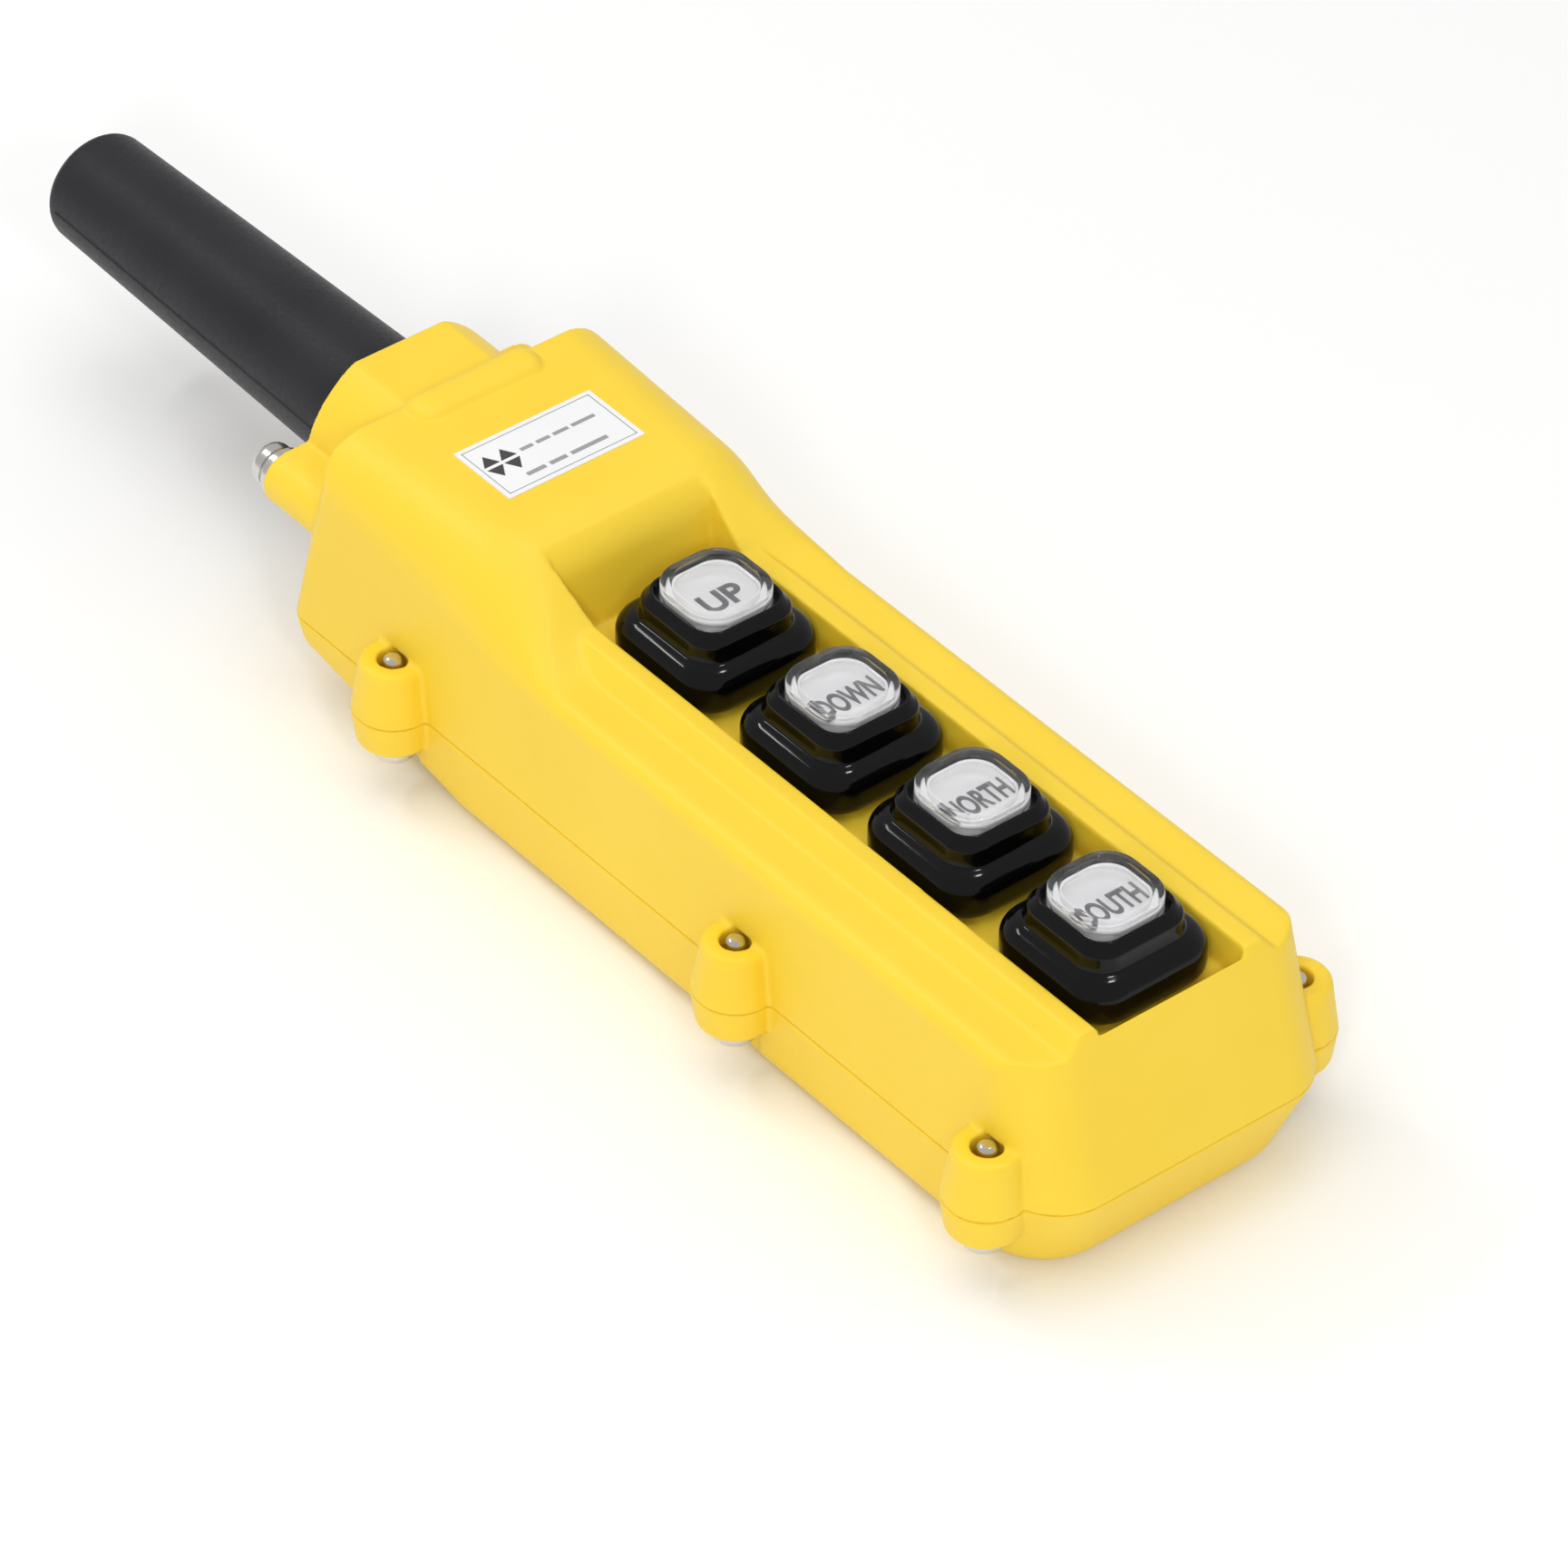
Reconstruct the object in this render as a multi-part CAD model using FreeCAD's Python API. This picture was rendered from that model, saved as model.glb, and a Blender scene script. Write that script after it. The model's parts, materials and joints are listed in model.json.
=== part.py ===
import FreeCAD, Part
import math
import os

from FreeCAD import Vector

# Pendant control station lying on its back: X across, Y along the body towards the cable sleeve,
# Z up out of the push buttons. The origin is the middle of the footprint, on the surface it rests on.
# Every length is in millimetres.

# Driving dimensions of the whole station
TOTAL_LENGTH = 320.0
LOWER_END_Y = -TOTAL_LENGTH / 2
SLEEVE_TIP_Y = TOTAL_LENGTH / 2
HEAD_END_Y = 54.6
SEAM_Z = 18.5
HEAD_TOP_Z = 61.7
WALL = 2.8

# Outline of the body in plan, at three heights
SEAM_HALF_WIDTH = 33.6
BOTTOM_HALF_WIDTH = 31.6
TOP_HALF_WIDTH = 32.7
LOWER_CORNER = 12.0
HEAD_CORNER = 5.0
END_FACE_SLOPE = 0.296
HEAD_FACE_SLOPE = 0.235
REAR_LOWER_INSET = 6.8
REAR_HEAD_INSET = 3.0
REAR_LOWER_CORNER = 15.0
REAR_HEAD_CORNER = 8.0
GASKET_INSET = 1.2
GASKET_WIDTH = 1.0
GASKET_DEPTH = 1.5
BOTTOM_ROUND = 6.5
BACK_RAMP_START_Y = 5.5
BACK_RAMP_SLOPE = 0.22

# Top of the front cover: a low ledge beside the trough that rises to the head, with a raised rim on it
LEDGE_Z = 46.5
LEDGE_ROUND = 3.2
HEAD_ROUND = 15.0
HEAD_ROUND_TAPER = 0.11  # loss of radius per millimetre towards the head's end
RISE_START_Y = -26.0
RISE_END_Y = 7.0
RISE_STATIONS = 12
ROUND_START_Y = -24.0  # the side rounding grows faster than the ledge rises
ROUND_END_Y = -2.0
RIM_Z = 50.2
RIM_RISE_START_Y = -15.0
RIM_RISE_END_Y = 9.0
RIM_HALF_WIDTH = 20.3
RIM_HEAD_HALF_WIDTH = 16.5
RIM_OUTER_DEPTH = 9.0
RIM_OUTER_SLOPE = 0.95
BAR_Y = 41.6
BAR_HEIGHT = 2.1
BAR_RADIUS = 3.6
BAR_HALF_LENGTH = 11.2
BAR_BREADTH = 1.4
RUN_OUT = 20.0  # how far a shape is carried past an end before that end is cut
CORNER_SLACK = 0.05

# Trough that holds the buttons
FLOOR_Z = 42.9
TROUGH_END_Y = -150.9
TROUGH_HEAD_Y = -8.4
TROUGH_HALF_WIDTH = 15.6
TROUGH_DRAFT = 0.147
BACK_WALL_LEAN = 5.3
BACK_WALL_ROUND = 9.0

# Buttons
BUTTON_NAMES = ("up", "down", "north", "south")
BUTTON_PITCH = 35.0
FIRST_BUTTON_Y = -28.4
LENS_TOP_Z = 60.5
LENS_BASE_Z = 56.5
LENS_HALF = 9.0
BOOT_LOWER_HALF = 14.75
BOOT_UPPER_HALF = 10.9
BOOT_STEP_Z = 52.6
BOOT_SKIN = 1.5
FLOOR_HOLE_HALF = 11.0
STEM_HALF = 5.5

# Housing screws
BOSS_X = 34.9
BOSS_Y = (20.2, -77.7, -145.1)
BOSS_TOP_Z = 29.6
BOSS_BOTTOM_Z = 11.0
BOSS_SEAM_RADIUS = 7.9
BOSS_TOP_RADIUS = 6.2
BOSS_BOTTOM_RADIUS = 7.0
INSERT_RADIUS = 3.0
SCREW_RADIUS = 2.0

# Neck, lugs and cable sleeve
SLEEVE_AXIS_Z = 38.9
NECK_END_Y = 63.9
NECK_RADIUS = 22.1
NECK_TOP_Z = 58.4
LUG_X = 26.0
LUG_Z = 40.0
LUG_RADIUS = 5.4
SLEEVE_NECK_RADIUS = 13.6
SLEEVE_TIP_RADIUS = 11.4
CABLE_RADIUS = 7.0
SLEEVE_FLANGE_RADIUS = 17.5

# Inner switch parts
BLOCK_TOP_Z = 36.6
BLOCK_BOTTOM_Z = 12.0
BLOCK_HALF_X = 14.0
BLOCK_HALF_Y = 14.5
TERMINAL_Z = 24.9
CONTACT_THICKNESS = 1.0
POST_X = 18.5
POST_SPACING_Y = 11.0
STEM_BOTTOM_Z = 30.0
POINT_HEIGHT = 0.22  # each contact point; the open gap is just over the 4 mm travel
BLOCK_FLOOR_Z = 15.0

# Small fasteners and the cable clamp in the head
PAN_HEIGHT = 3.8
PAN_RADIUS = 4.3
PAN_POCKET_RADIUS = 4.5
BLOCK_SCREW_RADIUS = 1.5
NUT_THICKNESS = 3.2
FLAT_WASHER_RADIUS = 5.0
FLAT_WASHER_THICKNESS = 1.2
SPRING_WASHER_RADIUS = 4.0
SPRING_WASHER_THICKNESS = 1.4
NUT_Y = HEAD_END_Y - 10.5
NUT_ACROSS_FLATS = 7.0
CLAMP_Y = 22.0
CLAMP_POST_X = 14.0
CLAMP_TOP_Z = 47.5

X_AXIS = Vector(1, 0, 0)
Y_AXIS = Vector(0, 1, 0)
Z_AXIS = Vector(0, 0, 1)


# ---------- plain shapes ----------

def box(x_low, x_high, y_low, y_high, z_low, z_high):
    size = (x_high - x_low, y_high - y_low, z_high - z_low)
    return Part.makeBox(*size, Vector(x_low, y_low, z_low))


def rod(radius, start, end):
    axis = end - start
    return Part.makeCylinder(radius, axis.Length, start, axis)


def cone(start_radius, end_radius, start, end):
    axis = end - start
    return Part.makeCone(start_radius, end_radius, axis.Length, start, axis)


def rounded_outline(x_half, y_low, y_high, z, low_radius, high_radius):
    """A rectangle about the Y axis at height z, with one corner radius at each end."""
    half_turn_point = 1.0 - math.sqrt(0.5)

    def corner(x_sign, y, y_sign, radius):
        inner = radius * half_turn_point
        middle = Vector(x_sign * (x_half - inner), y - y_sign * inner, z)
        along_side = Vector(x_sign * x_half, y - y_sign * radius, z)
        along_end = Vector(x_sign * (x_half - radius), y, z)
        return along_side, middle, along_end

    low_right = corner(1, y_low, -1, low_radius)
    high_right = corner(1, y_high, 1, high_radius)
    high_left = corner(-1, y_high, 1, high_radius)
    low_left = corner(-1, y_low, -1, low_radius)
    edges = [
        Part.makeLine(low_right[0], high_right[0]),
        Part.Arc(*high_right).toShape(),
        Part.makeLine(high_right[2], high_left[2]),
        Part.Arc(*reversed(high_left)).toShape(),
        Part.makeLine(high_left[0], low_left[0]),
        Part.Arc(*low_left).toShape(),
        Part.makeLine(low_left[2], low_right[2]),
        Part.Arc(*reversed(low_right)).toShape(),
    ]
    return Part.Wire(edges)


def loft(*wires):
    return Part.makeLoft(list(wires), True, True)


def square_pillar(half, corner, y, z_low, z_high, top_half=None):
    """A rounded square pillar about the button axis at y, tapering to top_half."""
    top_half = half if top_half is None else top_half
    top_corner = corner - (half - top_half) * 0.5
    low = rounded_outline(half, y - half, y + half, z_low, corner, corner)
    high = rounded_outline(top_half, y - top_half, y + top_half, z_high, top_corner, top_corner)
    return loft(low, high)


def across_section(points, y_low, y_high):
    corners = [Vector(x, y_low, z) for x, z in points]
    face = Part.Face(Part.makePolygon(corners + corners[:1]))
    return face.extrude(Y_AXIS * (y_high - y_low))


def edges_where(solid, test):
    return [edge for edge in solid.Edges if test(edge.BoundBox)]


# ---------- front cover ----------

def side_half_width(z):
    """Half the body's width at a height above the seam."""
    share = (z - SEAM_Z) / (HEAD_TOP_Z - SEAM_Z)
    return SEAM_HALF_WIDTH - (SEAM_HALF_WIDTH - TOP_HALF_WIDTH) * share


def end_former(inset):
    """The block in plan, with its sloping ends and rounded corners, a hair wider than the sides."""
    wires = []
    for z in (SEAM_Z, HEAD_TOP_Z + 3):
        rise = z - SEAM_Z
        wires.append(
            rounded_outline(
                side_half_width(z) - inset + CORNER_SLACK,
                LOWER_END_Y + END_FACE_SLOPE * rise + inset,
                HEAD_END_Y - HEAD_FACE_SLOPE * rise - inset,
                z,
                LOWER_CORNER - inset,
                HEAD_CORNER - inset,
            )
        )
    return loft(*wires)


def eased(y, start_y, end_y):
    """How far a feature has risen at y, from 0 to 1, starting and stopping gently."""
    share = min(1.0, max(0.0, (y - start_y) / (end_y - start_y)))
    return share * share * (3.0 - 2.0 * share)


def between(low, high, share):
    return low + (high - low) * share


def tangent_points(corner, towards_side, towards_top, radius):
    """Where an arc of the radius leaves the two sides of a corner, and the arc's middle."""
    half_angle = towards_side.getAngle(towards_top) / 2
    reach = radius / math.tan(half_angle)
    start = corner + towards_side * reach
    end = corner + towards_top * reach
    to_centre = (towards_side + towards_top).normalize()
    middle = corner + to_centre * (radius / math.sin(half_angle) - radius)
    return start, middle, end


def cover_section(y, inset):
    """The front cover's cross-section at one station: drafted sides, rounded top corners."""
    top_z = between(LEDGE_Z, HEAD_TOP_Z, eased(y, RISE_START_Y, RISE_END_Y)) - inset
    radius = between(LEDGE_ROUND, HEAD_ROUND, eased(y, ROUND_START_Y, ROUND_END_Y)) - inset
    radius -= HEAD_ROUND_TAPER * max(0.0, y - RISE_END_Y)
    base_half = side_half_width(SEAM_Z) - inset
    corner = Vector(side_half_width(top_z) - inset, 0, top_z)
    towards_base = (Vector(base_half, 0, SEAM_Z) - corner).normalize()
    right = tangent_points(corner, towards_base, X_AXIS * -1.0, max(radius, 0.8))
    right = [Vector(point.x, y, point.z) for point in right]
    left = [Vector(-point.x, y, point.z) for point in right]
    base_right = Vector(base_half, y, SEAM_Z)
    base_left = Vector(-base_half, y, SEAM_Z)
    edges = [
        Part.makeLine(base_left, base_right),
        Part.makeLine(base_right, right[0]),
        Part.Arc(*right).toShape(),
        Part.makeLine(right[2], left[2]),
        Part.Arc(*reversed(left)).toShape(),
        Part.makeLine(left[0], base_left),
    ]
    return Part.Wire(edges)


def rim_section(y, top_z, half_width, inset):
    """The raised rim's cross-section at one station along the body."""
    top_half = half_width - inset
    foot_half = top_half + RIM_OUTER_DEPTH * RIM_OUTER_SLOPE
    foot_z = top_z - inset - RIM_OUTER_DEPTH
    corners = [
        Vector(-foot_half, y, foot_z),
        Vector(-top_half, y, top_z - inset),
        Vector(top_half, y, top_z - inset),
        Vector(foot_half, y, foot_z),
    ]
    return Part.makePolygon(corners + corners[:1])


def cover_block(inset):
    """Everything inside the front cover's outer skin, shrunk by inset.

    The ledge, the head and the rim run past the ends, which are rounded in plan afterwards with walls
    a hair wider, so that the shoulder's rounding doesn't meet the end at a sliver.
    """
    step = (RISE_END_Y - RISE_START_Y) / (RISE_STATIONS - 1)
    stations = [RISE_START_Y + step * i for i in range(RISE_STATIONS)]
    ledge = loft(cover_section(LOWER_END_Y - RUN_OUT, inset), cover_section(RISE_START_Y, inset))
    rise = Part.makeLoft([cover_section(y, inset) for y in stations], True, False)
    head = loft(cover_section(RISE_END_Y, inset), cover_section(HEAD_END_Y + RUN_OUT, inset))
    rim = loft(
        rim_section(LOWER_END_Y - RUN_OUT, RIM_Z - 0.4, RIM_HALF_WIDTH, inset),
        rim_section(RIM_RISE_START_Y, RIM_Z, RIM_HALF_WIDTH, inset),
        rim_section(RIM_RISE_END_Y, HEAD_TOP_Z - 0.05, RIM_HEAD_HALF_WIDTH, inset),
        rim_section(RIM_RISE_END_Y + 6, HEAD_TOP_Z - 2, RIM_HEAD_HALF_WIDTH, inset),
    )
    block = ledge.fuse([rise, head, rim]).removeSplitter()
    return block.common(end_former(inset))


def bend_arc(start, corner, end):
    """The arc tangent to both sides of a corner, where start and end are equally far from it."""
    chord_middle = (start + end) * 0.5
    reach = (start - corner).Length
    half_chord = (end - start).Length / 2
    to_chord = (chord_middle - corner).Length
    radius = reach * half_chord / to_chord
    centre_distance = math.hypot(radius, reach)
    towards_centre = (chord_middle - corner).normalize()
    middle = corner + towards_centre * (centre_distance - radius)
    return Part.Arc(start, middle, end).toShape()


def trough(grow):
    """The button recess with its sloping back wall, or its outer skin when grow is positive."""
    floor_z = FLOOR_Z - grow
    top_z = HEAD_TOP_Z + 4
    foot_y = TROUGH_HEAD_Y + grow
    brow = Vector(0, foot_y + BACK_WALL_LEAN, HEAD_TOP_Z)
    foot = Vector(0, foot_y, floor_z)
    wall_direction = (brow - foot).normalize()
    arc_start = brow - wall_direction * BACK_WALL_ROUND
    arc_end = brow + Y_AXIS * BACK_WALL_ROUND
    low_corner = Vector(0, TROUGH_END_Y - grow, floor_z)
    high_corner = Vector(0, TROUGH_END_Y - grow, top_z)
    far_corner = Vector(0, arc_end.y, top_z)
    edges = [
        Part.makeLine(low_corner, foot),
        Part.makeLine(foot, arc_start),
        bend_arc(arc_start, brow, arc_end),
        Part.makeLine(arc_end, far_corner),
        Part.makeLine(far_corner, high_corner),
        Part.makeLine(high_corner, low_corner),
    ]
    face = Part.Face(Part.Wire(edges))
    face.translate(Vector(-40, 0, 0))
    profile = face.extrude(X_AXIS * 80)
    low_half = TROUGH_HALF_WIDTH + grow
    high_half = low_half + TROUGH_DRAFT * (top_z - floor_z)
    section = [(-low_half, floor_z), (-high_half, top_z), (high_half, top_z), (low_half, floor_z)]
    return across_section(section, TROUGH_END_Y - grow, arc_end.y).common(profile)


def neck():
    """The collar round the sleeve with its two lugs, of which the left one takes a screw."""
    start_y = HEAD_END_Y - 12
    collar = rod(NECK_RADIUS, Vector(0, start_y, SLEEVE_AXIS_Z), Vector(0, NECK_END_Y, SLEEVE_AXIS_Z))
    keep = box(-40, 40, start_y, NECK_END_Y, SEAM_Z, NECK_TOP_Z)
    collar = collar.common(keep)
    ears = box(-LUG_X, LUG_X, start_y, NECK_END_Y, LUG_Z - LUG_RADIUS, LUG_Z + LUG_RADIUS)
    for side in (-1, 1):
        lug_start = Vector(side * LUG_X, start_y, LUG_Z)
        ears = ears.fuse(rod(LUG_RADIUS, lug_start, Vector(side * LUG_X, NECK_END_Y, LUG_Z)))
    return collar.fuse(ears).removeSplitter()


def boss_places():
    return [(side * BOSS_X, y) for y in BOSS_Y for side in (-1, 1)]


def post_places():
    places = []
    for y in button_places():
        places += [(-POST_X, y - POST_SPACING_Y), (POST_X, y + POST_SPACING_Y)]
    return places


def button_places():
    return [FIRST_BUTTON_Y - BUTTON_PITCH * i for i in range(len(BUTTON_NAMES))]


def head_bar():
    """The broad rounded ridge across the top of the head, flush with the head's end face."""
    bar = rod(BAR_RADIUS, Vector(-BAR_HALF_LENGTH, 0, 0), Vector(BAR_HALF_LENGTH, 0, 0))
    for side in (-1, 1):
        bar = bar.fuse(Part.makeSphere(BAR_RADIUS, Vector(side * BAR_HALF_LENGTH, 0, 0)))
    widen = FreeCAD.Matrix()
    widen.scale(1.0, BAR_BREADTH, 1.0)
    bar = bar.transformGeometry(widen)
    bar.translate(Vector(0, BAR_Y, HEAD_TOP_Z + BAR_HEIGHT - BAR_RADIUS))
    return bar.common(end_former(0))


def front_cover():
    cover = cover_block(0)
    cover = cover.fuse(head_bar())
    cover = cover.cut(trough(0))
    cavity = cover_block(WALL).cut(trough(WALL))
    sleeve_room = rod(
        SLEEVE_FLANGE_RADIUS + 0.3,
        Vector(0, HEAD_END_Y - 26, SLEEVE_AXIS_Z),
        Vector(0, HEAD_END_Y - 6.5, SLEEVE_AXIS_Z),
    )
    cover = cover.cut(cavity)
    for x, y in boss_places():
        boss = cone(BOSS_SEAM_RADIUS, BOSS_TOP_RADIUS, Vector(x, y, SEAM_Z), Vector(x, y, BOSS_TOP_Z))
        boss = boss.makeFillet(1.2, edges_where(boss, lambda b: b.ZMin > BOSS_TOP_Z - 0.1))
        cover = cover.fuse(boss)
    for x, y in post_places():
        cover = cover.fuse(rod(3.2, Vector(x, y, 32.0), Vector(x, y, FLOOR_Z - 1.0)))
    for x in (-CLAMP_POST_X, CLAMP_POST_X):
        cover = cover.fuse(rod(4.0, Vector(x, CLAMP_Y, CLAMP_TOP_Z), Vector(x, CLAMP_Y, HEAD_TOP_Z - 1.0)))
    cover = cover.fuse(neck()).cut(sleeve_room)
    bore_start = Vector(0, HEAD_END_Y - 30, SLEEVE_AXIS_Z)
    cover = cover.cut(rod(SLEEVE_NECK_RADIUS + 0.3, bore_start, Vector(0, NECK_END_Y + 1, SLEEVE_AXIS_Z)))
    for x, y in boss_places():
        cover = cover.cut(rod(INSERT_RADIUS, Vector(x, y, SEAM_Z - 1), Vector(x, y, BOSS_TOP_Z)))
    for x, y in post_places():
        cover = cover.cut(rod(BLOCK_SCREW_RADIUS, Vector(x, y, 31.0), Vector(x, y, FLOOR_Z - 2.0)))
    for x in (-CLAMP_POST_X, CLAMP_POST_X):
        tap_start = Vector(x, CLAMP_Y, CLAMP_TOP_Z - 1)
        cover = cover.cut(rod(BLOCK_SCREW_RADIUS, tap_start, tap_start + Z_AXIS * 10))
    lug_hole = rod(SCREW_RADIUS + 0.1, Vector(-LUG_X, HEAD_END_Y - 20, LUG_Z), Vector(-LUG_X, 70, LUG_Z))
    cover = cover.cut(lug_hole).cut(nut_shape(-LUG_X, NUT_Y, LUG_Z, NUT_THICKNESS, 0.05))
    for y in button_places():
        cover = cover.cut(square_pillar(FLOOR_HOLE_HALF, 5.0, y, FLOOR_Z - WALL - 1, FLOOR_Z + 1))
    return cover.removeSplitter()


# ---------- rear cover and gasket ----------

def rear_block(inset):
    """Everything inside the rear cover's outer skin, shrunk by inset."""
    seam_outline = rounded_outline(
        SEAM_HALF_WIDTH - inset,
        LOWER_END_Y + inset,
        HEAD_END_Y - inset,
        SEAM_Z,
        LOWER_CORNER - inset,
        HEAD_CORNER - inset,
    )
    bottom_outline = rounded_outline(
        BOTTOM_HALF_WIDTH - inset,
        LOWER_END_Y + REAR_LOWER_INSET + inset,
        HEAD_END_Y - REAR_HEAD_INSET - inset,
        inset,
        REAR_LOWER_CORNER - inset,
        REAR_HEAD_CORNER - inset,
    )
    block = loft(bottom_outline, seam_outline)
    ramp_end_y = HEAD_END_Y + 10
    ramp_end_z = (ramp_end_y - BACK_RAMP_START_Y) * BACK_RAMP_SLOPE
    start = Vector(-40, BACK_RAMP_START_Y, inset)
    corners = [start, Vector(-40, ramp_end_y, inset + ramp_end_z), Vector(-40, ramp_end_y, -5)]
    corners += [Vector(-40, BACK_RAMP_START_Y, -5), start]
    block = block.cut(Part.Face(Part.makePolygon(corners)).extrude(X_AXIS * 80))
    return block.makeFillet(BOTTOM_ROUND - inset, under_edges(block, inset))


def under_edges(block, inset):
    """The edges round the flat back and up both sides of its ramp."""
    top_of_ramp_z = inset + (HEAD_END_Y - BACK_RAMP_START_Y) * BACK_RAMP_SLOPE
    chosen = []
    for edge in block.Edges:
        bounds = edge.BoundBox
        across = bounds.XLength > 40 and bounds.YLength < 0.1 and abs(bounds.YMin - BACK_RAMP_START_Y) < 1
        upright = bounds.ZMax > SEAM_Z - 0.5
        if bounds.ZMax < top_of_ramp_z + 0.1 and not across and not upright:
            chosen.append(edge)
    return chosen


def gasket_loop(outer_inset, inner_inset, z_low, z_high):
    def slab(inset):
        outlines = []
        for z in (z_low, z_high):
            outlines.append(
                rounded_outline(
                    SEAM_HALF_WIDTH - inset,
                    LOWER_END_Y + inset,
                    HEAD_END_Y - inset,
                    z,
                    LOWER_CORNER - inset,
                    HEAD_CORNER - inset,
                )
            )
        return loft(*outlines)

    return slab(outer_inset).cut(slab(inner_inset))


def gasket():
    """The rubber cord lying in the rear cover's groove, with a little room at each side."""
    room = 0.05
    outer = GASKET_INSET + room
    inner = GASKET_INSET + GASKET_WIDTH - room
    return gasket_loop(outer, inner, SEAM_Z - GASKET_DEPTH, SEAM_Z)


def rear_cover():
    cover = rear_block(0).cut(rear_block(WALL))
    for x, y in boss_places():
        boss = cone(BOSS_BOTTOM_RADIUS, BOSS_SEAM_RADIUS, Vector(x, y, BOSS_BOTTOM_Z), Vector(x, y, SEAM_Z))
        boss = boss.makeFillet(2.0, edges_where(boss, lambda b: b.ZMax < BOSS_BOTTOM_Z + 0.1))
        cover = cover.fuse(boss)
    for x, y in boss_places():
        cover = cover.cut(rod(SCREW_RADIUS + 0.2, Vector(x, y, BOSS_BOTTOM_Z - 1), Vector(x, y, SEAM_Z + 1)))
        cover = cover.cut(rod(PAN_POCKET_RADIUS, Vector(x, y, -1), Vector(x, y, BOSS_BOTTOM_Z)))
    groove = gasket_loop(GASKET_INSET, GASKET_INSET + GASKET_WIDTH, SEAM_Z - GASKET_DEPTH, SEAM_Z + 1)
    return cover.cut(groove).removeSplitter()


# ---------- fasteners ----------

def pan_screw(head_base, direction, shank_radius, head_radius, head_height, length):
    """A pan-head screw with a cross recess; direction points from the head along the shank."""
    back = direction * -1.0
    head = rod(head_radius, head_base, head_base + back * head_height)
    far_rim = [e for e in head.Edges if (e.BoundBox.Center - head_base - back * head_height).Length < 0.01]
    head = head.makeFillet(head_height * 0.55, far_rim[:1])
    shank = rod(shank_radius, head_base, head_base + direction * length)
    tip = [e for e in shank.Edges if (e.BoundBox.Center - head_base - direction * length).Length < 0.01]
    shank = shank.makeFillet(shank_radius * 0.6, tip[:1])
    screw = head.fuse(shank).removeSplitter()
    top = head_base + back * head_height
    reach = head_radius * 0.55
    slot_half = head_radius * 0.11
    for cross in perpendiculars(direction):
        other = direction.cross(cross)
        start = top - cross * reach - other * slot_half + direction * (head_height * 0.45)
        corners = [
            start,
            start + cross * (2 * reach),
            start + cross * (2 * reach) + other * (2 * slot_half),
            start + other * (2 * slot_half),
        ]
        face = Part.Face(Part.makePolygon(corners + corners[:1]))
        screw = screw.cut(face.extrude(back * head_height))
    return screw


def perpendiculars(direction):
    first = X_AXIS if abs(direction.x) < 0.5 else Y_AXIS
    return first, direction.cross(first)


def nut_shape(x, y, z, thickness, clearance=0.0):
    """A hex nut whose axis is along Y, its near face at y."""
    corner_radius = (NUT_ACROSS_FLATS / 2 + clearance) / math.cos(math.pi / 6)
    corners = []
    for i in range(6):
        angle = math.radians(60 * i + 90)
        corners.append(
            Vector(x + corner_radius * math.cos(angle), y - clearance, z + corner_radius * math.sin(angle))
        )
    face = Part.Face(Part.makePolygon(corners + corners[:1]))
    return face.extrude(Y_AXIS * (thickness + 2 * clearance))


def housing_screws():
    length = BOSS_TOP_Z - BOSS_BOTTOM_Z + 0.3
    return [
        pan_screw(Vector(x, y, BOSS_BOTTOM_Z), Z_AXIS, SCREW_RADIUS, PAN_RADIUS, PAN_HEIGHT, length)
        for x, y in boss_places()
    ]


def thread_inserts():
    inserts = []
    for x, y in boss_places():
        sleeve = rod(INSERT_RADIUS - 0.02, Vector(x, y, SEAM_Z + 0.5), Vector(x, y, BOSS_TOP_Z - 3.2))
        inserts.append(sleeve.cut(rod(SCREW_RADIUS + 0.03, Vector(x, y, SEAM_Z), Vector(x, y, BOSS_TOP_Z))))
    return inserts


def lug_washers():
    """A flat washer against the lug and a spring washer under the screw's head."""
    flat_end_y = NECK_END_Y + FLAT_WASHER_THICKNESS
    head_y = flat_end_y + SPRING_WASHER_THICKNESS
    flat = rod(FLAT_WASHER_RADIUS, Vector(-LUG_X, NECK_END_Y, LUG_Z), Vector(-LUG_X, flat_end_y, LUG_Z))
    spring = rod(SPRING_WASHER_RADIUS, Vector(-LUG_X, flat_end_y, LUG_Z), Vector(-LUG_X, head_y, LUG_Z))
    hole = rod(SCREW_RADIUS + 0.1, Vector(-LUG_X, NECK_END_Y - 1, LUG_Z), Vector(-LUG_X, head_y + 1, LUG_Z))
    return [flat.cut(hole), spring.cut(hole)]


def lug_screw():
    head_y = NECK_END_Y + FLAT_WASHER_THICKNESS + SPRING_WASHER_THICKNESS
    length = head_y - NUT_Y + 0.5
    return pan_screw(Vector(-LUG_X, head_y, LUG_Z), Y_AXIS * -1.0, SCREW_RADIUS, 4.3, 3.4, length)


def lug_nut():
    bore = rod(SCREW_RADIUS + 0.03, Vector(-LUG_X, NUT_Y - 1, LUG_Z), Vector(-LUG_X, NUT_Y + 5, LUG_Z))
    return nut_shape(-LUG_X, NUT_Y, LUG_Z, NUT_THICKNESS).cut(bore)


def block_screws():
    return [
        pan_screw(Vector(x, y, TERMINAL_Z), Z_AXIS, BLOCK_SCREW_RADIUS - 0.03, 2.8, 2.0, 13.0)
        for x, y in post_places()
    ]


# ---------- cable sleeve and clamp ----------

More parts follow.
